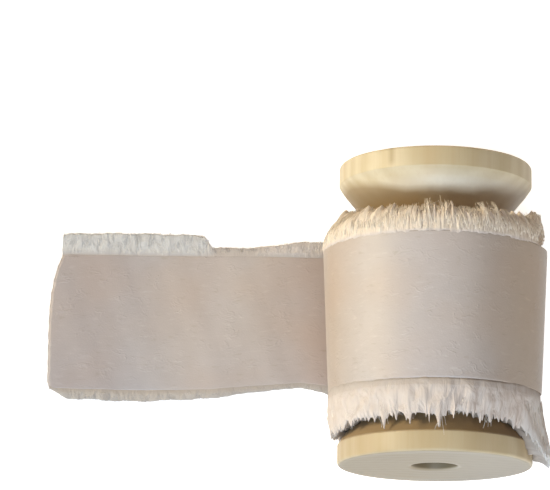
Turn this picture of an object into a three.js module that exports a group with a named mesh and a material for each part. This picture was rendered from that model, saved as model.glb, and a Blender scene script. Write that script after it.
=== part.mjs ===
// A turned wooden spool lying on its side, wound with a ribbon that is frayed along both edges.
// The ribbon leaves the underside of its winding, and its loose end lies flat beside the spool.
//
// Units are millimetres and +Z is up. The spool's axis runs along Y, with its near end towards -Y,
// and the loose end reaches towards -X. The origin is on the surface that the winding rests on,
// straight below the middle of the spool. Angles round the winding are in degrees, counted from
// straight down towards +X, the way that the ribbon goes round after it leaves the surface.
import * as THREE from "three";

const { clamp, degToRad, euclideanModulo, lerp, smoothstep } = THREE.MathUtils;

const AXIS_HEIGHT = 20;
const CLEARANCE = 0.4; // between the winding and the wood
const GAP = 0.3; // between the winding and the loose end
const CLOTH = 1; // thickness of the loose end

const SPOOL = {
  halfLength: 27.5,
  flangeRadius: 17.5,
  rimWidth: 3.8,
  taperLength: 9.8, // the cone between the rim and the core
  coreRadius: 9.5,
  boreRadius: 4,
  edgeRound: 0.7,
  segments: 72,
};

// The woven band is one inch wide and slightly conical. Each of its edges is frayed into threads.
const BAND = { near: -14.8, far: 11.3, nearRadius: 19.35, farRadius: 20.55 };
const FRINGE = { teeth: 56, depth: 2.6 };

// The outer turn leaves the winding just left of its lowest line, as a step one cloth high. From
// the +X side down to there, the turn slips towards +Y.
const EXIT = { angle: -5.7, step: 0.8, slip: 3.6, slipAngle: 125 };
// The winding sags onto the surface below the first angle, and hangs free above the second.
const SAG = { full: 8, none: 24 };

// The loose end at places along its length.
//   x: the place                      nearEdge: y of the woven cloth's near edge
//   nearFray: length of the threads that stand out there
//   farFray: the same at the far edge, where half the ribbon has lost most of its threads
const ALONG = [
  { x: -2, nearEdge: -8.3, nearFray: 0.9, farFray: 2.8 },
  { x: -21, nearEdge: -8.6, nearFray: 0.9, farFray: 2.8 },
  { x: -33, nearEdge: -9.7, nearFray: 1.3, farFray: 1.7 },
  { x: -43.5, nearEdge: -10.5, nearFray: 1.9, farFray: 1.6 },
  { x: -44.5, nearEdge: -10.5, nearFray: 1.9, farFray: 4.4 },
  { x: -55, nearEdge: -10.8, nearFray: 2.3, farFray: 4.4 },
  { x: -72, nearEdge: -10.8, nearFray: 1.9, farFray: 4.3 },
];
const FAR_EDGE = 14.9;
// The cut end bows out: its furthest point is at the y called middle, and it is back by the bow at
// the far corner. Its near corner is worn round.
const CUT_END = { reach: -71.4, middle: -2, bow: 2.6, nearRound: 3.6, ragged: 0.35 };
const LOOSE_GRID = { columns: 60, rows: 12 };

// A repeatable unevenness between -1 and 1 for the n-th tooth of a comb.
const uneven = (n, seed) => Math.sin(n * 12.9898 + seed * 78.233) * Math.cos(n * 4.1414 + seed);

// ---- the wooden spool ----

const taperStart = SPOOL.halfLength - SPOOL.rimWidth - SPOOL.taperLength;
const taperSlope = (SPOOL.flangeRadius - SPOOL.coreRadius) / SPOOL.taperLength;

// The wood's radius between the rims, at a distance y from the middle of the spool.
const woodRadius = (y) => SPOOL.coreRadius + Math.max(0, Math.abs(y) - taperStart) * taperSlope;

// One half of the turned profile, from the bore's mouth round the rim to the core.
function flangeOutline(side) {
  const { halfLength, flangeRadius, rimWidth, boreRadius, edgeRound } = SPOOL;
  const outline = [[boreRadius, halfLength]];
  const roundOff = (y, from, to) => {
    for (const share of [0, 1 / 3, 2 / 3, 1]) {
      const a = degToRad(lerp(from, to, share));
      const radius = flangeRadius - edgeRound + edgeRound * Math.cos(a);
      outline.push([radius, y + edgeRound * Math.sin(a)]);
    }
  };
  roundOff(halfLength - edgeRound, 90, 0);
  roundOff(halfLength - rimWidth + edgeRound, 0, -50);
  outline.push([SPOOL.coreRadius, taperStart]);
  return outline.map(([radius, y]) => new THREE.Vector2(radius, side * y));
}

function spoolGeometry() {
  const near = flangeOutline(-1);
  const far = flangeOutline(1).reverse();
  return new THREE.LatheGeometry([...near, ...far, near[0].clone()], SPOOL.segments);
}

// ---- closed surfaces from columns of points ----

// Joins columns, each a closed loop of as many points, into one closed surface. The last column
// joins the first one, or the two are capped where the surface has ends.
function loft(columns, hasEnds) {
  const loop = columns[0].length;
  const index = [];
  const quad = (a, b, c, d) => index.push(a, b, c, a, c, d);
  const spans = hasEnds ? columns.length - 1 : columns.length;
  for (let span = 0; span < spans; span++) {
    const here = span * loop;
    const next = ((span + 1) % columns.length) * loop;
    for (let k = 0; k < loop; k++) {
      const after = (k + 1) % loop;
      quad(here + k, next + k, next + after, here + after);
    }
  }
  if (hasEnds) {
    const last = (columns.length - 1) * loop;
    for (let k = 0; k < loop / 2 - 1; k++) {
      const [a, b, c, d] = [k, k + 1, loop - 2 - k, loop - 1 - k];
      quad(a, b, c, d);
      quad(last + d, last + c, last + b, last + a);
    }
  }
  const geometry = new THREE.BufferGeometry();
  geometry.setFromPoints(columns.flat());
  geometry.setIndex(index);
  geometry.computeVertexNormals();
  return geometry;
}

// ---- the wound ribbon ----

// The winding's section: along the core, up the far end, back along the band, down the near end.
//   y: place along the axis           r: radius
//   comb: share of a tooth's depth that is cut back between two teeth, negative at the near end
//   outer: 1 on the outer turn, which slips along the axis, and less on what it carries along
//   sag: 1 where the cloth sags onto the surface
//   left, right: how much further the fringe stands out on the -X and the +X side
//   tuft: 1 where the long tuft at the near right hangs out
function windingSection() {
  const core = SPOOL.coreRadius + CLEARANCE;
  const foot = taperStart - CLEARANCE / 2;
  const wood = (y) => ({ y, r: woodRadius(y) + 1.35 * CLEARANCE });
  const slope = (BAND.farRadius - BAND.nearRadius) / (BAND.far - BAND.near);
  const band = (y) => ({ y, r: BAND.nearRadius + (y - BAND.near) * slope, outer: 1, sag: 1 });
  const rows = [
    { y: -foot, r: core },
    { y: foot, r: core },
    wood(16.9),
    { y: 16.7, r: 14.9, comb: 0.4, outer: 0.4, right: 0.3 },
    { y: 17.1, r: 17.5, comb: 1, outer: 1, left: 0.3, right: 1 },
    { y: 14.1, r: 18.3, outer: 1, left: 1.7, right: -0.3 },
    { y: BAND.far + 0.6, r: BAND.farRadius - 0.9, outer: 1, sag: 0.5, left: 0.5 },
    { ...band(BAND.far), r: BAND.farRadius - 0.1 },
    band(7),
    band(0),
    band(-7),
    band(BAND.near),
    { y: BAND.near - 0.5, r: BAND.nearRadius - 0.4, outer: 1, sag: 0.5 },
    { y: -18.2, r: 18.9, outer: 1, right: 0.4, tuft: 0.3 },
    { y: -21.1, r: 18.1, comb: -1, outer: 1, right: 0.6, tuft: 1 },
    { y: -20.3, r: 16.9, comb: -0.4, outer: 0.4 },
    wood(-20.1),
    wood(-17.8),
  ];
  const plain = { comb: 0, outer: 0, sag: 0, left: 0, right: 0, tuft: 0 };
  return rows.map((row) => ({ ...plain, ...row }));
}

// A soft hump round the winding: 1 at its middle angle, and 0 beyond its reach.
function hump(angle, middle, reach) {
  const away = Math.abs(euclideanModulo(angle - middle + 180, 360) - 180);
  return 1 - smoothstep(away, 0, reach);
}

const tuftHump = (angle) => hump(angle, 98, 26);

// The radius of a row once it is spread at the sides, made uneven, and laid on what is below it.
function windingRadius(row, angle, turned) {
  const a = degToRad(angle);
  const lumps = 0.12 * Math.sin(3 * a + 0.4) + 0.07 * Math.sin(7 * a + 1.3);
  let radius = row.r + row.outer * lumps + 1.3 * row.tuft * tuftHump(angle);
  radius += row.left * hump(angle, 270, 60) + row.right * hump(angle, 90, 60);

  const overLooseEnd = turned > 180;
  const fromDown = Math.abs(overLooseEnd ? angle - 360 : angle);
  if (fromDown > 80) return radius;
  const below = overLooseEnd ? CLOTH + GAP : 0;
  const limit = (AXIS_HEIGHT - below) / Math.cos(degToRad(fromDown));
  const sag = row.sag * (1 - smoothstep(fromDown, SAG.full, SAG.none));
  return Math.min(lerp(radius, Math.max(radius, limit), sag), limit);
}

// One point of the winding, at an angle counted on from the exit. Even columns are tooth tips.
function windingPoint(row, turned, column) {
  const angle = EXIT.angle + turned;
  const radius = windingRadius(row, angle, turned);
  const cutBack = FRINGE.depth * (1 + 0.35 * uneven(column, 1));
  const ragged = 0.5 * uneven(column, 2);
  const slip = EXIT.slip * (1 - smoothstep(turned, 0, EXIT.slipAngle));
  const y = row.y - row.comb * (column % 2 ? cutBack : ragged) + row.outer * slip;
  const hanging = 2.6 * row.tuft * tuftHump(angle);
  const a = degToRad(angle);
  return new THREE.Vector3(radius * Math.sin(a), y - hanging, AXIS_HEIGHT - radius * Math.cos(a));
}

function windingGeometry() {
  const section = windingSection();
  const count = 2 * FRINGE.teeth;
  const angles = Array.from({ length: count }, (_, column) => (column * 360) / count);
  angles.push(360 - EXIT.step);
  const columns = angles.map((turned, c) => section.map((row) => windingPoint(row, turned, c)));
  return loft(columns, false);
}

// ---- the loose end ----

// It starts one gap from the foot of the step that the outer turn leaves at.
const looseStart = (AXIS_HEIGHT - CLOTH) * Math.tan(degToRad(EXIT.angle - EXIT.step)) - GAP;

// The value of one of the columns of ALONG at a place between its rows.
function along(x, name) {
  const found = ALONG.findIndex((row) => row.x <= x);
  const next = found < 1 ? ALONG.length - 1 : found;
  const [a, b] = [ALONG[next - 1], ALONG[next]];
  return lerp(a[name], b[name], clamp((x - a.x) / (b.x - a.x), 0, 1));
}

// How high the cloth's underside is. The cut end lifts, most at its near corner, and one low wave
// crosses the ribbon.
function raised(x, y) {
  const nearness = clamp((FAR_EDGE - y) / 25, 0, 1);
  const lift = lerp(0.4, 1.2, nearness) * smoothstep(-x, 48, 74);
  const wave = 0.7 * Math.exp(-(((x + 31 + 8 * nearness) / 7.5) ** 2));
  return lift + wave;
}

// The x of the cut end at a place across the ribbon.
function cutEnd(y, row) {
  const { reach, middle, bow, nearRound, ragged } = CUT_END;
  const corner = ALONG.at(-1);
  const farTip = FAR_EDGE + corner.farFray;
  const nearTip = corner.nearEdge - corner.nearFray;
  const back = bow * (Math.max(0, y - middle) / (farTip - middle)) ** 2;
  const turn = clamp((nearTip + nearRound - y) / nearRound, 0, 1);
  return reach + back + nearRound * (1 - Math.sqrt(1 - turn * turn)) + ragged * (row % 2);
}

// A column of the loose end: its top from the far tips to the near tips, and its underside back.
function looseEndColumn(share, column) {
  const between = column % 2;
  const length = 1 + 0.12 * uneven(column, 3);
  const middleX = lerp(looseStart, CUT_END.reach, share);
  const nearEdge = along(middleX, "nearEdge");
  const farTip = FAR_EDGE + along(middleX, "farFray") * length * (between ? 0.4 : 1);
  const nearTip = nearEdge - along(middleX, "nearFray") * length * (between ? 0.35 : 1);
  const { rows } = LOOSE_GRID;
  const band = Array.from({ length: rows + 1 }, (_, row) => lerp(FAR_EDGE, nearEdge, row / rows));
  const top = [farTip, ...band, nearTip].map((y, row) => {
    const x = lerp(looseStart, cutEnd(y, row), share);
    return new THREE.Vector3(x, y, raised(x, y) + CLOTH);
  });
  const underside = top.map((point) => point.clone().setZ(point.z - CLOTH)).reverse();
  return [...top, ...underside];
}

function looseEndGeometry() {
  const { columns } = LOOSE_GRID;
  const shares = Array.from({ length: columns + 1 }, (_, column) => column / columns);
  return loft(shares.map(looseEndColumn), true);
}

// ---- the whole part ----

const birch = new THREE.MeshStandardMaterial({ color: 0xe3cfa4, roughness: 0.55, metalness: 0 });
const cloth = new THREE.MeshStandardMaterial({ color: 0xdccdb9, roughness: 0.85, metalness: 0 });

function named(name, geometry, material) {
  const mesh = new THREE.Mesh(geometry, material);
  mesh.name = name;
  return mesh;
}

const spool = named("spool", spoolGeometry(), birch);
spool.position.z = AXIS_HEIGHT;

const part = new THREE.Group();
part.add(spool);
part.add(named("ribbon_roll", windingGeometry(), cloth));
part.add(named("ribbon_end", looseEndGeometry(), cloth.clone()));

export default part;
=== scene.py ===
# A turned wooden spool lying on its side, wound with a soft ribbon that is frayed along both edges.
# The ribbon comes off the underside of its winding, and its loose end lies flat beside the spool.
#
# Sizes are in millimetres and are made metres by MM where a mesh or a socket takes them. +Z is up
# and the spool's axis runs along Y. Angles round the spool are in degrees, counted from straight
# down towards +X, the way that the ribbon goes round from where it leaves the winding.
import math

import bpy
import numpy as np
from mathutils import Matrix, Vector


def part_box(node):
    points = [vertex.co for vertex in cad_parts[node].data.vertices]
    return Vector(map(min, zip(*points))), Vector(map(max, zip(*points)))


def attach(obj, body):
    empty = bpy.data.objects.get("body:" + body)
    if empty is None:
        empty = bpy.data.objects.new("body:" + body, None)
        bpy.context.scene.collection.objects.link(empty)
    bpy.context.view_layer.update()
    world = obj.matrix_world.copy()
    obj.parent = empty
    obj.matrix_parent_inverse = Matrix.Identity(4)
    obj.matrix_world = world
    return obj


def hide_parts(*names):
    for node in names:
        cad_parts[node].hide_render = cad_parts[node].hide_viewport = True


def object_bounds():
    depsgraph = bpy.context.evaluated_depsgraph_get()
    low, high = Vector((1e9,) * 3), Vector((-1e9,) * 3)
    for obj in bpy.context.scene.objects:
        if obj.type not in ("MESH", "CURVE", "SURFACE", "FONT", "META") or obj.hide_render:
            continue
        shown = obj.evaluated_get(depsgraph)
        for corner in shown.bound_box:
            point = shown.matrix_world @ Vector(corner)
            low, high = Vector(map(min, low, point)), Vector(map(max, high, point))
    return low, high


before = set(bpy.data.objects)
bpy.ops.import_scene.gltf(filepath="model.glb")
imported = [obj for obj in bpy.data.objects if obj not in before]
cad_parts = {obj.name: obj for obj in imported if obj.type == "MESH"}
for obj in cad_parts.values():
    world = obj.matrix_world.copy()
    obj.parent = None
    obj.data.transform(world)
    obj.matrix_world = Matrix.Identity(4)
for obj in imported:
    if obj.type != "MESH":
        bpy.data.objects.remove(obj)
cad_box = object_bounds()
MM = 0.001


# ---- camera ---------------------------------------------------------------------------------
# It looks almost straight down, from a little beyond the near end of the spool, and is framed so
# that the spool stands at the right and the loose end reaches to the left edge.

box_middle = (cad_box[0] + cad_box[1]) / 2
spool_low, spool_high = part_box("spool")
AXIS_HEIGHT = (spool_low.z + spool_high.z) / 2 / MM

look_at = Vector((box_middle.x - 3.6 * MM, 12.8 * MM, AXIS_HEIGHT * MM))
ELEVATION = math.radians(77.07)
ROLL = math.radians(0.81)
DISTANCE = 600 * MM
SENSOR_WIDTH = 36
FOCAL_LENGTH = 216.1

back = Vector((0, -math.cos(ELEVATION), math.sin(ELEVATION)))
across = Vector((1, 0, 0))
upward = back.cross(across)
right = across * math.cos(ROLL) + upward * math.sin(ROLL)
up = upward * math.cos(ROLL) - across * math.sin(ROLL)

camera_data = bpy.data.cameras.new("camera")
camera_data.sensor_width = SENSOR_WIDTH
camera_data.lens = FOCAL_LENGTH
camera_data.clip_start = 0.01
camera = bpy.data.objects.new("camera", camera_data)
bpy.context.scene.collection.objects.link(camera)
turn = Matrix((right, up, back)).transposed()
camera.matrix_world = Matrix.LocRotScale(look_at + back * DISTANCE, turn, None)
bpy.context.scene.camera = camera


# ---- light and floor ------------------------------------------------------------------------
# A warm low window at the left, cool light from the near end and the near left, a little warm
# light high at the right and a low light from the far end, over a pale sweep of floor.

LIGHT_AWAY, LIGHT_SIZE = 700, 260
LIGHT_AIM = Vector((0, 0, 15))
for name, bearing, height, power, colour in [
    ("window", 166, 26, 3.8, (1.0, 0.86, 0.62)),
    ("cool_near", 267, 47, 3.6, (0.82, 0.92, 1.0)),
    ("cool_fill", 215, 38, 0.8, (0.42, 0.73, 1.0)),
    ("warm_right", 0, 65, 0.65, (1.0, 0.72, 0.5)),
    ("far_fill", 90, 14, 0.9, (1.0, 0.93, 0.84)),
]:
    level, lift = math.radians(bearing), math.radians(height)
    outward = Vector((math.cos(level), math.sin(level), 0)) * math.cos(lift)
    place = (outward + Vector((0, 0, math.sin(lift)))) * LIGHT_AWAY
    data = bpy.data.lights.new(name, "AREA")
    data.shape = "SQUARE"
    data.size = LIGHT_SIZE * MM
    data.energy = power
    data.color = colour
    light = bpy.data.objects.new(name, data)
    bpy.context.scene.collection.objects.link(light)
    facing = (LIGHT_AIM - place).to_track_quat("-Z", "Y")
    light.matrix_world = Matrix.LocRotScale(place * MM, facing, None)
    light.visible_camera = False

world = bpy.data.worlds.new("studio")
world.use_nodes = True
world.node_tree.nodes["Background"].inputs["Color"].default_value = (1.0, 1.0, 1.0, 1)
world.node_tree.nodes["Background"].inputs["Strength"].default_value = 0.03
bpy.context.scene.world = world
bpy.context.scene.view_settings.view_transform = "Standard"


def add_node(tree, kind, inputs=(), **settings):
    """A node of a tree. Its inputs are given as {name or number: value, or the socket to link},
    and a colour as (red, green, blue)."""
    node = tree.nodes.new(kind)
    for name, value in settings.items():
        setattr(node, name, value)
    for name, value in dict(inputs).items():
        socket = node.inputs[name]
        if isinstance(value, bpy.types.NodeSocket):
            tree.links.new(value, socket)
        else:
            socket.default_value = (*value, 1) if socket.type == "RGBA" else value
    return node


def sums(tree, operation, a, b=0.0, c=0.0, **settings):
    """The outcome of a sum with up to three values."""
    node = add_node(tree, "ShaderNodeMath", {0: a, 1: b, 2: c}, operation=operation, **settings)
    return node.outputs[0]


def new_material(name):
    """An empty material with its tree and its Principled shader, already linked to the output."""
    material = bpy.data.materials.new(name)
    material.use_nodes = True
    return material, material.node_tree, material.node_tree.nodes["Principled BSDF"]


def mesh_piece(name, points, faces, material, flat_faces=0):
    """A mesh object from points in millimetres. The last flat_faces of its faces stay flat."""
    mesh = bpy.data.meshes.new(name)
    mesh.from_pydata((np.asarray(points) * MM).tolist(), [], faces)
    shading = [True] * (len(faces) - flat_faces) + [False] * flat_faces
    mesh.polygons.foreach_set("use_smooth", shading)
    mesh.materials.append(material)
    mesh.update()
    piece = bpy.data.objects.new(name, mesh)
    bpy.context.scene.collection.objects.link(piece)
    return piece


FLOOR_REACH, FLOOR_HEIGHT = 3000, -0.02
GLOW, GLOW_WHERE_SEEN = 0.35, 0.32
floor_paint, floor_tree, floor_shader = new_material("floor_paint")
floor_shader.inputs["Base Color"].default_value = (0.93, 0.93, 0.93, 1)
floor_shader.inputs["Roughness"].default_value = 0.9
floor_shader.inputs["Emission Color"].default_value = (1, 1, 1, 1)
# The sweep is lit from behind, so shadows on it stay faint where it is looked at.
seen = add_node(floor_tree, "ShaderNodeLightPath").outputs["Is Camera Ray"]
glow = sums(floor_tree, "MULTIPLY_ADD", seen, GLOW_WHERE_SEEN, GLOW)
floor_tree.links.new(glow, floor_shader.inputs["Emission Strength"])
corners = [(-1, -1), (1, -1), (1, 1), (-1, 1)]
floor_points = [(x * FLOOR_REACH, y * FLOOR_REACH, FLOOR_HEIGHT) for x, y in corners]
floor = mesh_piece("floor", floor_points, [(0, 1, 2, 3)], floor_paint, flat_faces=1)


# ---- spool ----------------------------------------------------------------------------------
# One piece of pale birch, turned with its grain along the axis: two rims, a cone inside each, a
# straight core, and a bore drilled right through. The end faces show end grain.

HALF_LENGTH = (spool_high.y - spool_low.y) / 2 / MM
FLANGE_RADIUS = (spool_high.x - spool_low.x) / 2 / MM
RIM_WIDTH = 3.8
CONE_LENGTH = 9.8
CORE_RADIUS = 9.5
BORE_RADIUS = 4
EDGE_ROUND = 0.6
GROOVE_ROUND = 0.3
BORE_CHAMFER = 0.35
FACE_SET_BACK = 0.03
TURNING_MARK = 0.025  # the depth of the marks that the tool left on the end faces
SPOOL_SEGMENTS = 160

RIM_INSIDE = HALF_LENGTH - RIM_WIDTH
CORE_HALF = RIM_INSIDE - CONE_LENGTH
CONE_SLOPE = (FLANGE_RADIUS - CORE_RADIUS) / CONE_LENGTH


def wood_radius(y):
    """The radius of the wood between the rims, at a place along the axis."""
    return CORE_RADIUS + np.maximum(0, np.abs(y) - CORE_HALF) * CONE_SLOPE


def flange_profile():
    """(radius, place) from the bore's mouth, across the end face and round the rim, to the core."""
    profile = [(BORE_RADIUS, HALF_LENGTH - BORE_CHAMFER * 1.6)]
    for radius in np.linspace(BORE_RADIUS + BORE_CHAMFER, FLANGE_RADIUS - EDGE_ROUND, 16):
        mark = TURNING_MARK * math.sin(radius * 5.2)
        profile.append((radius, HALF_LENGTH - FACE_SET_BACK + mark))
    rim_middle = HALF_LENGTH - RIM_WIDTH / 2
    for rounding, side, start, end in [(EDGE_ROUND, 1, 80, 0), (GROOVE_ROUND, -1, 0, -50)]:
        for angle in np.radians(np.linspace(start, end, 6)):
            place = rim_middle + side * (RIM_WIDTH / 2 - rounding) + rounding * math.sin(angle)
            profile.append((FLANGE_RADIUS - rounding * (1 - math.cos(angle)), place))
    for share in np.linspace(0.12, 1, 10):
        place = RIM_INSIDE - CONE_LENGTH * share
        profile.append((float(wood_radius(place)), place))
    return profile


def turned_points(profile, segments):
    """The points of a profile turned round the spool's axis, one ring after another."""
    angles = np.linspace(0, 2 * np.pi, segments, endpoint=False)
    rings = [
        np.stack([r * np.sin(angles), np.full(segments, y), AXIS_HEIGHT - r * np.cos(angles)], 1)
        for r, y in profile
    ]
    return np.concatenate(rings)


def ring_faces(rings, segments):
    """Quads between rings, the last of which joins the first."""
    faces = []
    for ring in range(rings):
        here, after = ring * segments, (ring + 1) % rings * segments
        for k in range(segments):
            n = (k + 1) % segments
            faces.append((here + k, here + n, after + n, after + k))
    return faces


def layered(tree, colour, layers, blend="MIX"):
    """A colour under layers of others, which are given as (amount, colour) from the lowest up."""
    for amount, over in layers:
        inputs = {0: amount, 6: colour, 7: over}
        mix = add_node(tree, "ShaderNodeMix", inputs, data_type="RGBA", blend_type=blend)
        colour = mix.outputs[2]
    return colour


def ranged(tree, value, start, end, low=0, high=1, step="LINEAR"):
    """low where a value is at start, high where it is at end, and what lies between elsewhere."""
    inputs = {0: value, 1: start, 2: end, 3: low, 4: high}
    return add_node(tree, "ShaderNodeMapRange", inputs, interpolation_type=step).outputs[0]


def vectors(tree, operation, a, b=(0, 0, 0)):
    """The outcome of a sum with vectors."""
    node = add_node(tree, "ShaderNodeVectorMath", {0: a, 1: b}, operation=operation)
    return node.outputs["Value" if operation == "LENGTH" else "Vector"]


def attribute_of(tree, name):
    """The Fac and the Vector of what the points of a mesh carry under a name."""
    return add_node(tree, "ShaderNodeAttribute", attribute_name=name).outputs


def axes_of(tree, vector):
    """The X, Y and Z of a vector."""
    return add_node(tree, "ShaderNodeSeparateXYZ", {0: vector}).outputs


def noise(tree, place, scale, detail, stretch=None, **more):
    """Clouds of values round 0.5, drawn out along an axis whose stretch is below 1."""
    if stretch is not None:
        mapping = {"Vector": place, "Scale": stretch}
        place = add_node(tree, "ShaderNodeMapping", mapping).outputs[0]
    inputs = {"Vector": place, "Scale": scale, "Detail": detail, **more}
    return add_node(tree, "ShaderNodeTexNoise", inputs).outputs["Fac"]


def relief(tree, height, depth, strength, under=None):
    """A bump of a depth in millimetres, over another bump where one is given."""
    inputs = {"Height": height, "Distance": depth * MM, "Strength": strength}
    if under is not None:
        inputs["Normal"] = under
    return add_node(tree, "ShaderNodeBump", inputs).outputs[0]


def set_surface(shader, colour, bump, roughness, gloss):
    """Give a material its colour and its relief, and the same roughness and gloss all over."""
    shader.id_data.links.new(colour, shader.inputs["Base Color"])
    if bump is not None:
        shader.id_data.links.new(bump, shader.inputs["Normal"])
    shader.inputs["Roughness"].default_value = roughness
    shader.inputs["Specular IOR Level"].default_value = gloss


birch, birch_tree, birch_shader = new_material("birch")
wood_place = add_node(birch_tree, "ShaderNodeTexCoord").outputs["Object"]
wood = axes_of(birch_tree, wood_place)
# The pith lies well outside the spool, so growth rings cross it as shallow arcs.
pith = {"Vector": wood_place, "Location": (0.016, 0, 0.034), "Rotation": (0, 0.35, 0)}
from_pith = add_node(birch_tree, "ShaderNodeMapping", pith).outputs[0]
rings = add_node(
    birch_tree,
    "ShaderNodeTexWave",
    {"Vector": from_pith, "Scale": 120, "Distortion": 2.2, "Detail": 2, "Detail Scale": 1.2},
    wave_type="RINGS",
    rings_direction="Y",
).outputs["Fac"]
sawn_along = layered(birch_tree, (0.665, 0.555, 0.37), [(rings, (0.6, 0.485, 0.3))])
sawn_across = layered(birch_tree, (0.292, 0.233, 0.166), [(rings, (0.266, 0.207, 0.144))])
# Streaks and single fibres run along the grain.
ALONG_GRAIN = (1, 0.045, 1)
streaks = noise(birch_tree, wood_place, 150, 2, ALONG_GRAIN)
streak_amount = ranged(birch_tree, streaks, 0.5, 0.72, 0, 0.5)
fibres = noise(birch_tree, wood_place, 1600, 4, ALONG_GRAIN, Roughness=0.6)
fibre_amount = ranged(birch_tree, fibres, 0.45, 0.75, 0, 0.3)
# Where the cones cut slantwise across the grain they are paler and greyer than the rims. This is
# partly the cut grain and partly painted light: the lit band below each rim, painted strongest at the
# right and weakest at the left.
from_axis = vectors(birch_tree, "ADD", wood_place, (0, 0, -AXIS_HEIGHT * MM))
from_axis = vectors(birch_tree, "MULTIPLY", from_axis, (1, 0, 1))
wood_depth = vectors(birch_tree, "LENGTH", from_axis)
wood_normal = add_node(birch_tree, "ShaderNodeNewGeometry").outputs["Normal"]
end_grain = sums(birch_tree, "ABSOLUTE", axes_of(birch_tree, wood_normal)["Y"])
cone_light_by_side = ranged(birch_tree, wood["X"], -14 * MM, 0, 0.08, 0.85)
cone_light_below_rim = ranged(birch_tree, wood_depth, 17.2 * MM, 16.3 * MM, 0.15, cone_light_by_side)
slant_and_painted_light = ranged(birch_tree, end_grain, 0.55, 0.7, 0, cone_light_below_rim)
# Down in the two grooves the wood is painted brown as shade, the shade that the winding and its
# fringes cast there: higher up at the sides than on top, and stronger at the left than at the right.
groove_shade_strength = ranged(birch_tree, wood["X"], -4 * MM, 9 * MM, 0.85, 0.28)
sideways = sums(birch_tree, "ABSOLUTE", wood["X"])
groove_from = ranged(birch_tree, sideways, 6 * MM, 15.5 * MM, 15.2 * MM, 17.2 * MM)
groove_to = sums(birch_tree, "SUBTRACT", groove_from, 1 * MM)
groove_shade_amount = ranged(birch_tree, wood_depth, groove_from, groove_to, 0, groove_shade_strength)
# On the near half the cone is painted brown all over, as shade: it faces away from the light and lies
# in shade below the rim. The near rim is a little browner, most of all at the left.
near_rim_from, near_rim_to = (-RIM_INSIDE - 0.1) * MM, (-RIM_INSIDE + 0.1) * MM
near_cone_shade = ranged(birch_tree, wood["Y"], near_rim_from, near_rim_to, 0, 0.97)
near_rim = ranged(birch_tree, wood["X"], -12 * MM, 12 * MM, 0.48, 0.1)
near_shade_and_brown = sums(birch_tree, "MAXIMUM", near_cone_shade, near_rim)
near_side = sums(birch_tree, "LESS_THAN", wood["Y"], 0)
near_shade_and_brown_amount = sums(birch_tree, "MULTIPLY", near_shade_and_brown, near_side)
shade_and_brown_amount = sums(birch_tree, "MAXIMUM", groove_shade_amount, near_shade_and_brown_amount)
# One brown fleck runs along the grain of the far rim.
FLECK_X, FLECK_HALF_WIDTH = -8.6, 0.8
from_fleck = sums(birch_tree, "ADD", wood["X"], -FLECK_X * MM)
fleck_away = sums(birch_tree, "ABSOLUTE", from_fleck)
fleck_from, fleck_to = (HALF_LENGTH - 3.6) * MM, (HALF_LENGTH - 2.4) * MM
fleck_along = ranged(birch_tree, wood["Y"], fleck_from, fleck_to, 0, 0.5)
fleck_amount = ranged(birch_tree, fleck_away, FLECK_HALF_WIDTH * MM, 0.1 * MM, 0, fleck_along)
# Cut across the grain, the pores are open, and the wood looks greyer and darker. Inside, the bore is
# painted darker still, as shade.
end_amount = ranged(birch_tree, end_grain, 0.75, 1, 0, 0.8)
bore_from, bore_to = (BORE_RADIUS + BORE_CHAMFER) * MM, (BORE_RADIUS + 0.1) * MM
bore_painted_shade = ranged(birch_tree, wood_depth, bore_from, bore_to, 0, 0.85)
wood_layers = [
    (streak_amount, (0.58, 0.41, 0.22)),
    (fibre_amount, (0.55, 0.4, 0.22)),
    (slant_and_painted_light, (0.72, 0.69, 0.655)),
    (shade_and_brown_amount, (0.36, 0.25, 0.13)),
    (fleck_amount, (0.33, 0.22, 0.1)),
    (end_amount, sawn_across),
    (bore_painted_shade, (0.16, 0.12, 0.07)),
]
wood_colour = layered(birch_tree, sawn_along, wood_layers)
set_surface(birch_shader, wood_colour, relief(birch_tree, fibres, 0.06, 0.5), 0.48, 0.4)

far_half = flange_profile()
near_half = [(radius, -place) for radius, place in far_half]
spool_profile = far_half + near_half[::-1]
spool = mesh_piece(
    "turned_spool",
    turned_points(spool_profile, SPOOL_SEGMENTS),
    ring_faces(len(spool_profile), SPOOL_SEGMENTS),
    birch,
)
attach(spool, "root")
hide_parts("spool")


# ---- ribbon ---------------------------------------------------------------------------------
# One length of plain-woven cloth, wound turn on turn from the core outwards. Its last turn slips
# a little along the axis, leaves at the underside, and lies out to the left as far as its cut end.

CLOTH = 0.3
TURNS = 28
INNER_RADIUS = CORE_RADIUS + 0.25
NEAR_EDGE, FAR_EDGE = -14.8, 11.3
RIBBON_WIDTH = FAR_EDGE - NEAR_EDGE
NEAR_RADIUS, FAR_RADIUS = 19.35, 20.5
EXIT_ANGLE = -5.7
EXIT_SLIP = 3.6
SLIP_ANGLE = 125
TURN_SQUASHED = 0.33  # the height that one turn takes below the core, where the winding rests
SAG_REACH = (8, 24)  # in degrees from straight down: all of the sag, and none
LUMPS = (0.12, 0.07)  # how far the winding bulges, three times and seven times in a turn
WANDER = (0.35, 0.25)  # how far the inner turns wander along the axis, in two slow waves
NEAR_LIFT = 0.1  # how far the threads under it lift the near edge on top
SHARES_ACROSS = np.array(
    [0, 0.008, 0.018, 0.03, 0.05, *np.linspace(0.09, 0.91, 17), 0.95, 0.97, 0.984, 0.994, 1]
)


def smooth(x, low, high):
    """0 below low and 1 above high, with a soft step between."""
    t = np.clip((x - low) / (high - low), 0, 1)
    return t * t * (3 - 2 * t)


def hump(angle, middle, reach, flat=0):
    """1 at the middle angle and 0 beyond its reach, round the spool. flat is how far it stays 1."""
    away = np.abs((angle - middle + 180) % 360 - 180)
    return 1 - smooth(away, flat, reach)


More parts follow.
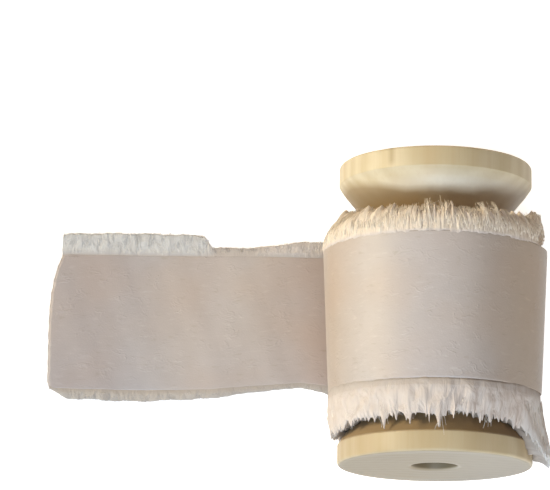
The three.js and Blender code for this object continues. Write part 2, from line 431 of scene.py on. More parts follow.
def wound(turned, share):
    """(radius, angle, place along the axis) of the cloth. turned is the angle from the exit
    inwards, in degrees, and share goes from the near woven edge to the far one."""
    angle = EXIT_ANGLE + turned
    inward = turned / (360 * TURNS)
    a = np.radians(angle)
    # Below the outermost turn the cloth wanders along the axis, and that turn slips along it.
    wander = WANDER[0] * np.sin(turned * 0.0137) + WANDER[1] * np.sin(turned * 0.0071 + 2)
    slip = EXIT_SLIP * (1 - smooth(turned, 0, SLIP_ANGLE))
    place = NEAR_EDGE + RIBBON_WIDTH * share + slip + wander * smooth(turned, 300, 900)

    # The winding is a little lumpy, and on top the near threads lift the edge of the cloth.
    lumpy = LUMPS[0] * np.sin(3 * a + 0.4) + LUMPS[1] * np.sin(7 * a + 1.3)
    outer = NEAR_RADIUS + (FAR_RADIUS - NEAR_RADIUS) * share - CLOTH / 2 + lumpy
    radius = INNER_RADIUS + (outer - INNER_RADIUS) * (1 - inward)
    near_lift = NEAR_LIFT * np.exp(-(((share - 0.012) / 0.014) ** 2)) * hump(angle, 180, 52, 26)
    radius = radius + near_lift * (1 - smooth(turned, 330, 720))
    radius = np.maximum(radius, wood_radius(place) + 0.2)

    # Its underside sags flat onto the surface, and the turns there are squashed together.
    from_down = np.abs((angle + 180) % 360 - 180)
    below = CLOTH / 2 + TURN_SQUASHED * np.maximum(0, turned - 90) / 360
    limit = (AXIS_HEIGHT - below) / np.cos(np.radians(np.minimum(from_down, 80)))
    sag = (1 - smooth(from_down, *SAG_REACH)) * (1 - smooth(turned, 400, 1800))
    sagged = radius + (np.maximum(radius, limit) - radius) * sag
    return np.where(from_down < 80, np.minimum(sagged, limit), radius), angle, place


def round_axis(radius, angle, place):
    """Points in space from places round the spool's axis."""
    a = np.radians(angle)
    radius, a, place = np.broadcast_arrays(radius, a, place)
    return np.stack([radius * np.sin(a), place, AXIS_HEIGHT - radius * np.cos(a)], -1)


# The loose end at places along it: where its near woven edge runs, and how long the threads are
# that stand out from its near and its far edge.
LOOSE_X = [-72, -67, -55, -42.4, -40.8, -33, -24, -2]
LOOSE_NEAR_EDGE = [-10.7, -10.8, -10.8, -10.5, -10.5, -9.7, -8.9, -11.2]
LOOSE_NEAR_FRAY = [1.7, 2.0, 2.3, 1.9, 1.9, 1.3, 1.0, 4.0]
LOOSE_FAR_FRAY = [3.9, 4.3, 4.6, 4.3, 1.8, 1.8, 3.2, 4.2]
LOOSE_FAR_EDGE = FAR_EDGE + EXIT_SLIP
LOOSE_START = (AXIS_HEIGHT - CLOTH / 2) * math.tan(math.radians(EXIT_ANGLE))
CUT_END = -71.1
CUT_BOW = 2.3  # how far the far corner stands back from the cut end's middle
CORNER_START, CORNER_ROUND = -9.1, 3.6
FAR_LIFT, NEAR_CORNER_LIFT = 0.4, 1.2  # the height of the two corners of the cut end
WAVE_X, WAVE_SLANT, WAVE_WIDTH, WAVE_HEIGHT = -31, 8, 7.5, 0.7
RIPPLE_HEIGHT = 0.12


def raised(x, y):
    """The height of the loose end's underside: the cut end lifts, and low waves cross it."""
    nearness = np.clip((LOOSE_FAR_EDGE - y) / 25, 0, 1)
    lift = (FAR_LIFT + (NEAR_CORNER_LIFT - FAR_LIFT) * nearness) * smooth(-x, 48, 74)
    wave = WAVE_HEIGHT * np.exp(-(((x - WAVE_X + WAVE_SLANT * nearness) / WAVE_WIDTH) ** 2))
    ripple = RIPPLE_HEIGHT * np.sin(x * 0.55 + y * 0.22) * smooth(-x, 22, 30)
    return lift + wave + np.maximum(0, ripple)


def cut_end(y):
    """The x of the cut end across the ribbon, bowed, with its near corner worn round."""
    bow = CUT_BOW * (np.maximum(0, y + 0.1) / 15) ** 3
    corner = np.clip((CORNER_START - y) / CORNER_ROUND, 0, 1)
    uneven = 0.06 * np.sin(y * 2.3) + 0.03 * np.sin(y * 5.1 + 1)
    return CUT_END + bow + CORNER_ROUND * (1 - np.sqrt(1 - corner**2)) + uneven


def loose(along, share):
    """Points in the middle of the cloth of the loose end. along goes from the exit to the cut."""
    straight_x = LOOSE_START + (CUT_END - LOOSE_START) * along
    near = np.interp(straight_x, LOOSE_X, LOOSE_NEAR_EDGE)
    y = near + (LOOSE_FAR_EDGE - near) * share
    x = LOOSE_START + (cut_end(y) - LOOSE_START) * along
    return np.stack([x, y, raised(x, y) + CLOTH / 2 + 0 * x], -1)


def ribbon_surfaces():
    """The outer and the inner face of the ribbon as grids of points, from the core to the cut."""
    thinned = 0.3 * smooth(SHARES_ACROSS, 0.965, 1) + 0.3 * smooth(SHARES_ACROSS, 0.035, 0)
    half = CLOTH / 2 * (1 - thinned)[None, :]
    inner_turns, outer_turns = np.arange(360 * TURNS, 1080, -9.0), np.arange(1080, 0, -4.0)
    turned = np.concatenate([inner_turns, outer_turns, [0]])[:, None]
    share = SHARES_ACROSS[None, :]
    radius, angle, place = wound(turned, share)
    outer = round_axis(radius + half, angle, place)
    inner = round_axis(radius - half, angle, place)
    along = np.linspace(0, 1, 110)[2:, None]
    middle = loose(along, share)
    half = half * (1 - 0.3 * smooth(along, 0.985, 1))
    thick = half[..., None] * np.array([0, 0, 1.0])
    outer = np.concatenate([outer, middle - thick])
    inner = np.concatenate([inner, middle + thick])
    return outer, inner


def sheet_faces(columns, rows):
    """Quads of a closed thin sheet: its outer grid, its inner grid, and the edges between them."""
    o = np.arange(columns * rows).reshape(columns, rows)
    i = o + columns * rows
    strips = [
        (o[:-1, :-1], o[1:, :-1], o[1:, 1:], o[:-1, 1:]),
        (i[:-1, :-1], i[:-1, 1:], i[1:, 1:], i[1:, :-1]),
        (o[:-1, 0], i[:-1, 0], i[1:, 0], o[1:, 0]),
        (o[:-1, -1], o[1:, -1], i[1:, -1], i[:-1, -1]),
        (o[0, :-1], o[0, 1:], i[0, 1:], i[0, :-1]),
        (o[-1, :-1], i[-1, :-1], i[-1, 1:], o[-1, 1:]),
    ]
    return [face for strip in strips for face in np.stack(strip, -1).reshape(-1, 4).tolist()]


def travelled_along(points):
    """How far along a line of points each of them lies."""
    steps = np.linalg.norm(np.diff(points, axis=0), axis=1)
    return np.concatenate([[0], np.cumsum(steps)])


def point_values(piece, name, values, kind="FLOAT"):
    """Give every point of a piece's mesh its own value, or its own three."""
    key = "value" if kind == "FLOAT" else "vector"
    attribute = piece.data.attributes.new(name, kind, "POINT")
    attribute.data.foreach_set(key, np.ascontiguousarray(values, float).ravel())


outer_face, inner_face = ribbon_surfaces()
columns, rows = outer_face.shape[:2]
travel = travelled_along(outer_face[:, rows // 2])
RIBBON_LENGTH = float(travel[-1])

ribbon_cloth, cloth_tree, cloth_shader = new_material("ribbon_cloth")
# The cloth's own place: x along the ribbon and y across it, in metres.
cloth_place = attribute_of(cloth_tree, "cloth_place")["Vector"]
cloth_axes = axes_of(cloth_tree, cloth_place)
from_cut = sums(cloth_tree, "SUBTRACT", RIBBON_LENGTH * MM, cloth_axes["X"])
blotches = noise(cloth_tree, cloth_place, 240, 3)
warmth = ranged(cloth_tree, noise(cloth_tree, cloth_place, 75, 1), 0.42, 0.64, 0, 0.6)
# Light and dark slubs run along it.
slubs = noise(cloth_tree, cloth_place, 1500, 2, (0.3, 1, 1))
light_slubs = ranged(cloth_tree, slubs, 0.6, 0.78, 0, 0.38)
dark_slubs = ranged(cloth_tree, slubs, 0.38, 0.22, 0, 0.45)
cloth_layers = [
    (blotches, (0.535, 0.465, 0.423)),
    (warmth, (0.51, 0.41, 0.345)),
    (light_slubs, (0.65, 0.59, 0.53)),
    (dark_slubs, (0.38, 0.31, 0.23)),
]
cloth_colour = layered(cloth_tree, (0.465, 0.4, 0.36), cloth_layers)
# The last 34 millimetres to the cut end are a little greyer. Where the cloth leaves the winding it is
# painted darker and warmer, as the winding's shade and its warm bounce light. Along its near edge it
# is a little greyer and bluer.
greyer_to_cut = ranged(cloth_tree, from_cut, 34 * MM, 6 * MM, step="SMOOTHSTEP")
winding_shade_and_bounce = ranged(cloth_tree, from_cut, 34 * MM, 54 * MM, step="SMOOTHSTEP")
off_the_winding = sums(cloth_tree, "LESS_THAN", from_cut, 72 * MM)
tints = [
    (greyer_to_cut, (0.86, 0.87, 0.93)),
    (sums(cloth_tree, "MULTIPLY", winding_shade_and_bounce, off_the_winding), (0.9, 0.83, 0.81)),
    (ranged(cloth_tree, cloth_axes["Y"], 0, 10 * MM, 1, 0), (0.975, 1.0, 1.04)),
]
# Bands across it are tinted too. Those 116 and 137 mm from the cut, at the right side and on top of
# the outer turn, are painted light: a browner painted shade at the right and a bluer, lighter painted
# sheen on top. The two on the loose end make it a little bluer, then a little darker.
for band_middle, band_reach, band_tint in [
    (17, 10, (0.99, 1.03, 1.07)),
    (31, 10, (0.95, 0.965, 1)),
    (116, 15, (0.985, 0.925, 0.82)),
    (137, 11, (1.04, 1.09, 1.17)),
]:
    away = sums(cloth_tree, "SUBTRACT", from_cut, band_middle * MM)
    away = sums(cloth_tree, "ABSOLUTE", away)
    band = ranged(cloth_tree, away, band_reach * MM, 0, step="SMOOTHSTEP")
    tints.append((band, band_tint))
# Painted shade: seen along its surface, at the edges of the winding, the cloth is painted darker and
# browner, as the shade in the hollows between its threads. This goes by the angle of the view.
grazing_painted_shade = add_node(cloth_tree, "ShaderNodeLayerWeight", {"Blend": 0.5}).outputs["Facing"]
tints.append((ranged(cloth_tree, grazing_painted_shade, 0.25, 0.6), (0.88, 0.8, 0.7)))
cloth_colour = layered(cloth_tree, cloth_colour, tints, "MULTIPLY")

crinkles = noise(cloth_tree, cloth_place, 950, 3, (0.5, 1, 1), Roughness=0.55)
cloth_bump = relief(cloth_tree, crinkles, 0.3, 0.09)
# Here and there the soft cloth is crimped in short creases.
crimps = noise(cloth_tree, cloth_place, 640, 2, (0.55, 1, 1), Distortion=0.8)
from_crease = sums(cloth_tree, "ABSOLUTE", sums(cloth_tree, "SUBTRACT", crimps, 0.5))
crimped_parts = ranged(cloth_tree, noise(cloth_tree, cloth_place, 300, 3), 0.52, 0.66)
creases = ranged(cloth_tree, from_crease, 0.085, 0, 0, crimped_parts, "SMOOTHSTEP")
cloth_bump = relief(cloth_tree, creases, 0.18, 0.28, cloth_bump)
weave = noise(cloth_tree, cloth_place, 3200, 2)
cloth_bump = relief(cloth_tree, weave, 0.06, 0.4, cloth_bump)
set_surface(cloth_shader, cloth_colour, cloth_bump, 0.52, 0.6)
cloth_shader.inputs["Sheen Weight"].default_value = 0.15
cloth_shader.inputs["Sheen Roughness"].default_value = 0.4

ribbon = mesh_piece(
    "ribbon",
    np.concatenate([outer_face.reshape(-1, 3), inner_face.reshape(-1, 3)]),
    sheet_faces(columns, rows),
    ribbon_cloth,
    flat_faces=2 * (columns + rows - 2),
)
place_values = np.zeros((2, columns, rows, 3))
place_values[..., 0] = travel[:, None] * MM
place_values[..., 1] = SHARES_ACROSS[None, :] * RIBBON_WIDTH * MM
point_values(ribbon, "cloth_place", place_values, "FLOAT_VECTOR")
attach(ribbon, "root")
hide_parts("ribbon_roll", "ribbon_end")


# ---- frayed edges of the winding: the matted threads ----------------------------------------
# Where the lengthwise threads have been drawn out, the crosswise ones stand free, about six
# millimetres long. Those of all the turns lie on each other and mat into a soft lumpy ring.

MAT_SEGMENTS = 1400
# What sets the two edges apart. At the left and the right of the spool the threads spring out:
# left and right are humps, as (middle, reach, flat), and the three rows after them are what each
# of the two adds there.
NEAR = {
    "share": 0.0,  # across the cloth
    "way": -1.0,  # along the axis
    "reach": 6.1,
    "tip_radii": (15.6, 18.0),  # at the core's turn and at the outer turn
    "left": (262, 50),
    "right": (102, 29, 11),
    "longer": (1.4, 5.8),
    "wider": (0.4, 3.0),
    "bend": (1.7, 0.3, -0.3),  # elsewhere, and what left and right add to it
    "long_locks": [(213, 2.5), (180, 2.8), (151.5, 1.8), (236, 1.2)],  # (angle, added reach)
    "paleness": 1.0,  # as thread_tone takes it
    # The mat: how far it reaches, and how its tips and its surface are broken up. Teeth, tufts and
    # locks are counted round the spool.
    "mat_reach": 6.55,
    "teeth": 210,
    "fine_teeth": 430,
    "tooth_length": 1.25,
    "hollow": 0.45,
    "tongue": 0.85,  # how much of the long locks' added reach it has itself
    "lean": 1.3,
    "tufts": 84,
    "locks": 150,
    "heights": (0.34, 0.05, 0.02),  # of tufts, locks and strands
    "lip": 1,  # 1 if the edge of the cloth shows over it on top
    "waist": 0,
    "shoulder": 0,
    "tip_round": 0.3,
    "mouth_depth": 1.3,
    "mouth_shade": 0.6,
    "white_tuft": 1,
    "gap_depth": 0.12,
    "gap_filled": 0,
    "pales_over": (-0.2, 2.4),  # from the edge of the cloth
    # Paleness taken off inside the mouth: painted shade.
    "shade_in_mouth": 0.8,  # inside the mouth
    # The single threads.
    "thread_radius": 0.07,
    "curl": 0.18,
    "loft": 0.35,
    "root_shift": 0.1,
    "above_mat": (0, 0.14),
    "share_on_mat": 0.93,
    "inner_shorter": 1.2,
}
FAR = {
    "share": 1.0,
    "way": 1.0,
    "reach": 5.0,
    "tip_radii": (12.9, 18.3),
    "left": (258, 50),
    "right": (102, 24, 8),
    "longer": (1.6, 1.8),
    "wider": (-1.2, 0.5),
    "bend": (3.2, -0.9, -2.2),
    "long_locks": [(186, 1.4), (178, 1.2), (156, 1.3), (150, 1.5), (208, 0.7)],
    # Its higher paleness, and the cream that it brings, are partly the threads' own tone and partly
    # painted warm light on this edge.
    "paleness": 1.9,
    "mat_reach": 4.6,
    "teeth": 230,
    "fine_teeth": None,
    "tooth_length": 1.3,
    "hollow": 0.3,
    "tongue": 0,
    "lean": 0.35,
    "tufts": 54,
    "locks": 300,
    "heights": (0.12, 0.3, 0.1),
    "lip": 0,
    "waist": 2.2,
    "shoulder": 0.8,
    "tip_round": 0.5,
    "mouth_depth": 1.8,
    "mouth_shade": 0.35,
    "white_tuft": 0,
    "gap_depth": 0.55,
    "gap_filled": 0.55,
    "pales_over": (-1.0, 0.7),
    "shade_in_mouth": 0,
    "thread_radius": 0.08,
    "curl": 0.15,
    "loft": 0.4,
    "root_shift": -0.25,
    "above_mat": (0.15, 0.45),
    "share_on_mat": 0.8,
    "inner_shorter": 0,
}
LIP = (180, 58, 30)  # humps as well: where the lip runs, and where the mat is drawn in
WAIST = (92, 28, 12)
SHOULDER = (268, 34, 10)


def sprung(angle, side):
    """How the outer threads stand round the spool: (added reach, added tip radius, bend)."""
    left, right = hump(angle, *side["left"]), hump(angle, *side["right"])
    longer = side["longer"][0] * left + side["longer"][1] * right
    wider = side["wider"][0] * left + side["wider"][1] * right
    bend = side["bend"][0] + side["bend"][1] * left + side["bend"][2] * right
    return longer, wider, bend


def knotted(angle, count, rng):
    """A smooth chance value from -1 to 1 round the spool, with count knots in a turn."""
    knots = rng.uniform(-1, 1, count)
    at = (angle % 360) / 360 * count
    low = np.floor(at).astype(int)
    step = knots[(low + 1) % count] - knots[low % count]
    return knots[low % count] + step * smooth(at - low, 0, 1)


def cloudy(angle, count, rings, rng):
    """A function of the share of the way out, which gives smooth chance values round the spool
    that also change on the way out, over the given number of rings."""
    rows = [knotted(angle, count, rng) for row in range(rings)]

    def at(share):
        low = min(int(share * (rings - 1)), rings - 2)
        return rows[low] + (rows[low + 1] - rows[low]) * smooth(share * (rings - 1) - low, 0, 1)

    return at


def long_locks(angle, side, width):
    """How much further out the few long locks reach round the spool. width is in degrees."""
    return sum(
        longer * np.exp(-(((angle % 360 - middle) / width) ** 2))
        for middle, longer in side["long_locks"]
    )


def fray_mat(name, side, rng):
    """A closed ring of matted threads along one edge of the winding, from the outer turn's
    threads in to the wood."""
    turned = 360 + np.linspace(0, 360, MAT_SEGMENTS, endpoint=False)
    root, angle, edge = wound(turned, np.full(MAT_SEGMENTS, side["share"]))
    none = 0 * angle
    way = side["way"]
    longer, wider, bend = sprung(angle, side)
    teeth = np.maximum(0, knotted(angle, side["teeth"], rng)) ** 1.5
    if side["fine_teeth"]:
        teeth = teeth + 0.75 * np.maximum(0, knotted(angle, side["fine_teeth"], rng))
    ragged = 0.45 * knotted(angle, 62, rng) + side["tooth_length"] * teeth - side["hollow"]
    tongue = side["tongue"] * long_locks(angle, side, 1.1)
    ragged = ragged + tongue
    reach = side["mat_reach"] + longer * 0.95 + ragged
    # The teeth lean to one side and the other, more and more on their way out.
    lean = side["lean"] * knotted(angle, 76, rng) + 0.35 * knotted(angle, 190, rng)
    tip = side["tip_radii"][1] - 0.1 + wider
    tufts = cloudy(angle, side["tufts"], 6, rng)
    strands = cloudy(angle, 520, 6, rng)
    locks = cloudy(angle, side["locks"], 3, rng)
    tuft_height, lock_height, strand_height = side["heights"]
    # The threads come out from under the outermost turn, whose edge they cover raggedly.
    covered = 0.14 + 0.37 * smooth(angle % 360, 90, 140)
    lip = side["lip"] * hump(angle, *LIP)
    inside = 0.45 + 0.3 * knotted(angle, 120, rng) + 0.25 * knotted(angle, 260, rng)
    inside = inside * (1 - lip) + 0.02
    waist = side["waist"] * hump(angle, *WAIST)
    shoulder = side["shoulder"] * hump(angle, *SHOULDER)

    rows, travelled, gaps, shades = [], [], [], []

    def ring(radius, at_angle, place, out, gap, shade):
        rows.append(round_axis(radius, at_angle, place))
        travelled.append(out)
        gaps.append(gap)
        shades.append(shade)

    ring(root - 0.3, angle, edge - way * 1.2, none - 1.2, none, 0)
    ring(root + covered - 0.12 - 0.2 * lip, angle, edge - way * inside, -inside, none, 0)
    for t in [0, 0.08, 0.2, 0.32, 0.44, 0.56, 0.68, 0.8, 0.9, 0.97, 1.0]:
        start = covered + 0.05 - 0.11 * lip * max(0, 1 - 2.5 * t)
        lock = np.minimum(1, 2.2 * np.abs(locks(t))) ** 0.6
        lump = tuft_height * tufts(t) + lock_height * (lock - 0.75) + strand_height * strands(t)
        lump = lump * min(1, 0.12 + 2.5 * t)
        lump = lump - waist * math.exp(-(((t - 0.24) / 0.15) ** 2))
        lump = lump - shoulder * math.exp(-(((t - 0.7) / 0.16) ** 2))
        rounding = side["tip_round"] * max(0, (t - 0.8) / 0.2) ** 2
        radius = root + start + (tip - root) * t**bend + lump - rounding
        out = (reach - ragged) * t + ragged * t**3
        place = edge + way * out
        ring(radius, angle + lean * t**2, place, out, (1 - lock) * min(1, 2 * t), 0)
    # Between the tips one looks into the fringe's mouth, which is painted darker as shade.
    tip_radius, tip_angle, tip_place = radius, angle + lean, place
    near_tips = gaps[-3]
    uneven = 0.25 * knotted(angle, 80, rng) + 0.4 * gaps[-1]
    for t in [0.1, 0.25, 0.45, 0.7, 1.0]:
        in_by = side["mouth_depth"] * (1 - (1 - t) ** 3) + uneven * (1 - t) + tongue
        place = tip_place - way * in_by
        wood = np.minimum(wood_radius(place), FLANGE_RADIUS) + 0.15
        radius = tip_radius + (wood - tip_radius) * t
        gap = near_tips + (1.2 - near_tips) * t**0.5
        ring(radius, tip_angle, place, reach + (tip_radius - wood) * t, gap, min(1, 4 * t))
    # Behind, it goes back along the wood to under the winding.
    for t in [0.3, 0.6, 1.0]:
        place = tip_place + (edge - way * 0.8 - tip_place) * t
        wood = np.minimum(wood_radius(place), FLANGE_RADIUS) + 0.2
        ring(wood, tip_angle, place, reach + 9, none, 1)
    points, travelled, gaps = np.stack(rows), np.array(travelled), np.array(gaps)
    points[..., 2] = np.maximum(points[..., 2], 0.02)
    faces = ring_faces(len(rows), MAT_SEGMENTS)
    if side is FAR:
        faces = [face[::-1] for face in faces]
    mat = mesh_piece(name, points.reshape(-1, 3), faces, frayed_cotton)

    paleness = side["paleness"] * smooth(travelled, *side["pales_over"])
    paleness = paleness - side["shade_in_mouth"] * smooth(travelled, 6.5, 10)
    # Between the locks and down into the mouth the paleness drops: painted shade.
    gap_depth = side["gap_depth"] * (1 - side["gap_filled"] * hump(angle, 225, 45))
    values = np.zeros((len(rows), MAT_SEGMENTS, 3))
    values[..., 0] = np.radians(angle) * FAR_RADIUS * MM
    values[..., 1] = travelled * MM
    values[..., 2] = paleness * np.maximum(0, 1 - gap_depth * gaps)
    point_values(mat, "thread_place", values, "FLOAT_VECTOR")
    # The inner shade is painted shade in the mouth, weaker under the tuft, and below 0 it is painted
    # light on top of the tuft.
    tuft = side["white_tuft"] * hump(angle, *side["right"])
    on_top = 1 - np.array(shades, float)[:, None]
    shade = np.outer(shades, side["mouth_shade"] * (1 - 0.7 * tuft))
    point_values(mat, "inner_shade", shade - 0.6 * on_top * tuft * smooth(travelled, 0, 3))
    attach(mat, "root")
    return mat


def thread_tone_group():
    """The colours that threads go through, for both of their materials. At a paleness of 0 they
    are as in the cloth, at 1 loose and pale, at 2 cream, and at -1 bleached."""
    group = bpy.data.node_groups.new("thread_tone", "ShaderNodeTree")
    group.interface.new_socket("Paleness", in_out="INPUT", socket_type="NodeSocketFloat")
    for name in ("Woven", "Loose", "Cream", "Bleached"):
        group.interface.new_socket(name, in_out="INPUT", socket_type="NodeSocketColor")
    group.interface.new_socket("Tone", in_out="OUTPUT", socket_type="NodeSocketColor")
    given = group.nodes.new("NodeGroupInput").outputs
    cream = sums(group, "SUBTRACT", given["Paleness"], 1, use_clamp=True)
    bleached = sums(group, "MULTIPLY", given["Paleness"], -1, use_clamp=True)
    layers = [
        (given["Paleness"], given["Loose"]),
        (cream, given["Cream"]),
        (bleached, given["Bleached"]),
    ]
    add_node(group, "NodeGroupOutput", {"Tone": layered(group, given["Woven"], layers)})
    return group


THREAD_TONE = thread_tone_group()

frayed_cotton, cotton_tree, cotton_shader = new_material("frayed_cotton")
# The threads' own place: x along the ribbon's edge and y out along the threads, in metres. Its z
# is their paleness, as thread_tone takes it.
thread_place = attribute_of(cotton_tree, "thread_place")["Vector"]
cotton_paleness = axes_of(cotton_tree, thread_place)["Z"]
looseness = sums(cotton_tree, "ABSOLUTE", cotton_paleness)
cotton_tones = {
    "Paleness": cotton_paleness,
    "Woven": (0.49, 0.43, 0.39),
    "Loose": (0.675, 0.59, 0.535),
    "Cream": (0.84, 0.725, 0.59),
    "Bleached": (0.62, 0.61, 0.605),
}
cotton_colour = add_node(
    cotton_tree, "ShaderNodeGroup", cotton_tones, node_tree=THREAD_TONE
).outputs["Tone"]
# They are matted in patches, and single strands lie side by side, with painted shade in the darker
# gaps between them.
patches = noise(cotton_tree, thread_place, 520, 3, (1, 0.55, 0), Distortion=0.8)
patch_contrast = ranged(cotton_tree, looseness, 0, 1, 0, 0.6)
patch_amount = ranged(cotton_tree, patches, 0.35, 0.6, patch_contrast, 0)
strands = noise(cotton_tree, thread_place, 3600, 2, (1, 0.09, 0), Distortion=0.3)
gap_contrast = ranged(cotton_tree, cotton_paleness, 0.9, 1.8, 0.1, 0.6)
gap_amount = ranged(cotton_tree, strands, 0.5, 0.3, 0, gap_contrast)
# The inner shade is painted shade, above 0 between the tips, where one looks into the fringe. Below 0
# it whitens the top of the longest tuft: partly the tuft's own paler tone, partly painted light.
inner_shade = attribute_of(cotton_tree, "inner_shade")["Fac"]
shadings = [
    (patch_amount, (0.85, 0.82, 0.8)),
    (gap_amount, (0.74, 0.7, 0.66)),
    (inner_shade, (0.42, 0.35, 0.27)),
]
cotton_colour = layered(cotton_tree, cotton_colour, shadings, "MULTIPLY")
tuft_painted_light = sums(cotton_tree, "MULTIPLY", inner_shade, -1, use_clamp=True)
cotton_colour = layered(cotton_tree, cotton_colour, [(tuft_painted_light, (0.86, 0.86, 0.85))])
strand_height = ranged(cotton_tree, looseness, 0.9, 1.8, 0.2, 1)
strand_relief = sums(cotton_tree, "MULTIPLY", strands, strand_height)
cotton_bump = relief(cotton_tree, strand_relief, 0.16, 0.7)
patch_height = ranged(cotton_tree, looseness, 0, 0.6, 0.3, 1)
patch_relief = sums(cotton_tree, "MULTIPLY", patches, patch_height)
cotton_bump = relief(cotton_tree, patch_relief, 1.2, 0.5, cotton_bump)
set_surface(cotton_shader, cotton_colour, cotton_bump, 0.9, 0.1)

frays = [
    fray_mat("near_fray_mat", NEAR, np.random.default_rng(5)),
    fray_mat("far_fray_mat", FAR, np.random.default_rng(6)),
]


# ---- frayed edges of the winding: the single threads ----------------------------------------
# Over the mat the threads of the outer turns still show one by one. They cling together in locks,
# bend down over the winding's shoulders, and a few locks are much longer than the rest.


def fray_tree():
    """Geometry nodes that grow a bent, tapering thread from each point of a mesh. The points
    carry run, lift and side (directions), reach and sink (lengths), bend, and place, which is how
    far along the edge they are."""
    tree = bpy.data.node_groups.new("frayed_threads", "GeometryNodeTree")
    for name, kind, value in [
        ("Geometry", "Geometry", None),
        ("Thread Radius", "Float", 0.07 * MM),
        ("Rings", "Int", 6),
        ("Lock Width", "Float", 1.8 * MM),
        ("Lock Pull", "Float", 0.6),
        ("Lean", "Float", 0.6 * MM),
        ("Curl", "Float", 0.2 * MM),
        ("Spread", "Float", 0.25),
        ("Loft", "Float", 0.5 * MM),
        ("Seed", "Int", 1),
        ("Material", "Material", None),
    ]:
        made = tree.interface.new_socket(name, in_out="INPUT", socket_type="NodeSocket" + kind)
        if value is not None:
            made.default_value = value
    tree.interface.new_socket("Geometry", in_out="OUTPUT", socket_type="NodeSocketGeometry")
    given = tree.nodes.new("NodeGroupInput").outputs

    def named(name, kind="FLOAT"):
        node = add_node(tree, "GeometryNodeInputNamedAttribute", {"Name": name}, data_type=kind)
        return node.outputs["Attribute"]

    def product(*factors):
        result = factors[0]
        for factor in factors[1:]:
            result = sums(tree, "MULTIPLY", result, factor)
        return result

    def added(a, b):
        return sums(tree, "ADD", a, b)

    def both(own_share, own_chance, lock_share, lock_chance):
        """A chance value, partly of a thread's own and partly of its lock."""
        lock_part = product(lock_chance, lock_share)
        return sums(tree, "MULTIPLY_ADD", own_chance, own_share, lock_part)

    def moved(points, direction, distance):
        inputs = {"Vector": named(direction, "FLOAT_VECTOR"), "Scale": distance}
        step = add_node(tree, "ShaderNodeVectorMath", inputs, operation="SCALE").outputs[0]
        return vectors(tree, "ADD", points, step)

    def chance(inputs):
        ends = {0: (-1, -1, -1), 1: (1, 1, 1)}
        kind = "FunctionNodeRandomValue"
        return add_node(tree, kind, {**ends, **inputs}, data_type="FLOAT_VECTOR").outputs[0]

    def store(geometry, name, value, kind):
        inputs = {"Geometry": geometry, "Name": name, "Value": value}
        node = add_node(tree, "GeometryNodeStoreNamedAttribute", inputs, data_type=kind)
        return node.outputs["Geometry"]

    # What is drawn by chance, for each thread and for each lock of threads.
    place = named("place")
    lock = sums(tree, "FLOOR", sums(tree, "DIVIDE", place, given["Lock Width"]))
    lock_id = add_node(tree, "FunctionNodeFloatToInt", {0: lock}).outputs[0]
    lock_chance = chance({"Seed": added(given["Seed"], 7), "ID": lock_id})
    lock_middle = sums(tree, "MULTIPLY_ADD", axes_of(tree, lock_chance)["X"], 0.3, added(lock, 0.5))
    to_lock = sums(tree, "SUBTRACT", product(lock_middle, given["Lock Width"]), place)
    own_chance = chance({"Seed": given["Seed"]})
    points = store(given["Geometry"], "own_chance", own_chance, "FLOAT_VECTOR")
    points = store(points, "lock_chance", lock_chance, "FLOAT_VECTOR")
    points = store(points, "to_lock", to_lock, "FLOAT")

    # A straight thread one metre high, whose points remember where on it they are.
    stick_inputs = {
        "Vertices": 3,
        "Side Segments": given["Rings"],
        "Radius Top": product(given["Thread Radius"], 0.35),
        "Radius Bottom": given["Thread Radius"],
        "Depth": 1,
    }
    stick = add_node(tree, "GeometryNodeMeshCone", stick_inputs).outputs["Mesh"]
    here = add_node(tree, "GeometryNodeInputPosition").outputs[0]
    stem = store(stick, "stem", here, "FLOAT_VECTOR")
    placed = add_node(tree, "GeometryNodeInstanceOnPoints", {"Points": points, "Instance": stem})
    grown = add_node(tree, "GeometryNodeRealizeInstances", {0: placed.outputs[0]}).outputs[0]

    # Each point goes to its place on the bent thread. t is its share of the way to the tip.
    stem_place = named("stem", "FLOAT_VECTOR")
    stem = axes_of(tree, stem_place)
    own = axes_of(tree, named("own_chance", "FLOAT_VECTOR"))
    shared = axes_of(tree, named("lock_chance", "FLOAT_VECTOR"))
    t = stem["Z"]
    uneven = both(0.5, own["X"], 0.7, shared["Y"])
    stretch = sums(tree, "MULTIPLY_ADD", uneven, given["Spread"], 1.0)
    outward = product(named("reach"), stretch, t)
    pull = product(named("to_lock"), given["Lock Pull"], sums(tree, "POWER", t, 1.3))
    lean = both(0.8, own["Y"], 0.8, shared["Z"])
    lean = product(lean, given["Lean"], sums(tree, "POWER", t, 1.7))
    phase = sums(tree, "MULTIPLY_ADD", t, 5.5, product(own["Z"], 9.0))
    curl = product(given["Curl"], t)
    sideways = added(added(pull, lean), product(curl, sums(tree, "SINE", phase)))
    drop = product(named("sink"), stretch, sums(tree, "POWER", t, named("bend")))
    rise = product(both(0.7, own["Z"], 0.5, shared["X"]), given["Loft"], t)
    rise = added(rise, product(curl, sums(tree, "COSINE", phase)))
    upward = added(sums(tree, "SUBTRACT", rise, drop), stem["Y"])
    bent = vectors(tree, "SUBTRACT", here, stem_place)
    bent = moved(bent, "run", outward)
    bent = moved(bent, "side", added(sideways, stem["X"]))
    bent = moved(bent, "lift", upward)
    # Nothing goes below the surface that the ribbon lies on.
    bent = axes_of(tree, bent)
    height = sums(tree, "MAXIMUM", bent["Z"], added(stem["Y"], given["Thread Radius"]))
    kept_above = add_node(tree, "ShaderNodeCombineXYZ", {0: bent["X"], 1: bent["Y"], 2: height})
    set_place = {"Geometry": grown, "Position": kept_above.outputs[0]}
    threads = add_node(tree, "GeometryNodeSetPosition", set_place).outputs[0]
    set_finish = {"Geometry": threads, "Material": given["Material"]}
    threads = add_node(tree, "GeometryNodeSetMaterial", set_finish).outputs[0]
    add_node(tree, "NodeGroupOutput", {"Geometry": threads})
    return tree


FRAYED_THREADS = fray_tree()


